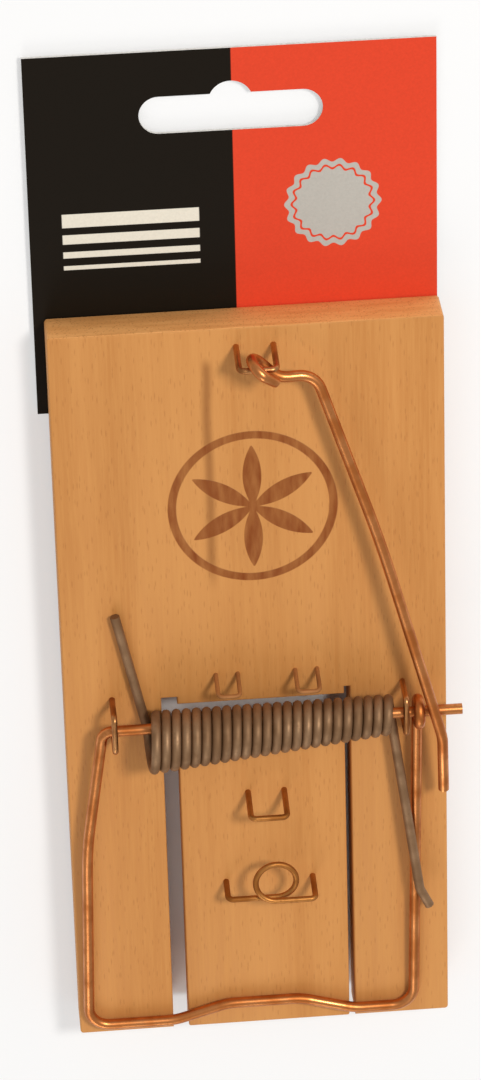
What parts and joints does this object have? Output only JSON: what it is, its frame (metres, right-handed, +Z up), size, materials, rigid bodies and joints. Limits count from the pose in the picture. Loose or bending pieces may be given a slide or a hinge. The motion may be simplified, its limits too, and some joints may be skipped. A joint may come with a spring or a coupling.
{
  "type": "wooden snap trap",
  "caption": "Rat-size wooden snap trap: a board with a wooden treadle, a sprung wire jaw on an axle, a locking bar hooked to a staple, and a hanging card stapled under its head end.",
  "frame": {"origin": "centre of the board's underside, the face the trap lies on", "axes": "+X across the board toward the parked bar's tip, +Y along the board toward the hanging card, +Z up out of the board's face"},
  "size_m": [0.0742, 0.1979, 0.0215],
  "materials": {
    "beech": "planed, bare",
    "coppered_wire": "drawn steel wire, copper-coloured plating",
    "spring_steel": "dark oil-hardened spring wire",
    "staple_wire": "drawn steel wire, copper-coloured plating",
    "card": "printed card, half dark and half red"
  },
  "bodies": {
    "base": {"base_board": "beech", "header_card": "card", "card_staple_left": "staple_wire", "card_staple_right": "staple_wire", "jaw_staple_left": "staple_wire", "jaw_staple_right": "staple_wire", "bar_staple": "staple_wire", "keeper_staple_left": "staple_wire", "keeper_staple_right": "staple_wire", "treadle_pivot": "staple_wire", "spring": "spring_steel"},
    "jaw": {"jaw": "coppered_wire"},
    "bar": {"locking_bar": "coppered_wire"},
    "treadle": {"treadle": "beech", "trigger_staple": "staple_wire", "bait_holder": "staple_wire"}
  },
  "joints": [
    {"name": "jaw_swing", "type": "hinge", "parent": "base", "child": "jaw", "pos_m": [0, -0.0042, 0.013], "axis": [-1, 0, 0], "range_deg": [0, 155], "stiffness_Nm_per_rad": 0.25, "springref_deg": -91.67, "deforming": ["spring"]},
    {"name": "bar_lift", "type": "hinge", "parent": "base", "child": "bar", "pos_m": [0, 0.0692, 0.01545], "axis": [-1, 0, 0], "range_deg": [0, 165]},
    {"name": "treadle_tilt", "type": "hinge", "parent": "base", "child": "treadle", "pos_m": [0, -0.0102, 0.0055], "axis": [-1, 0, 0], "range_deg": [-2.5, 0]}
  ]
}
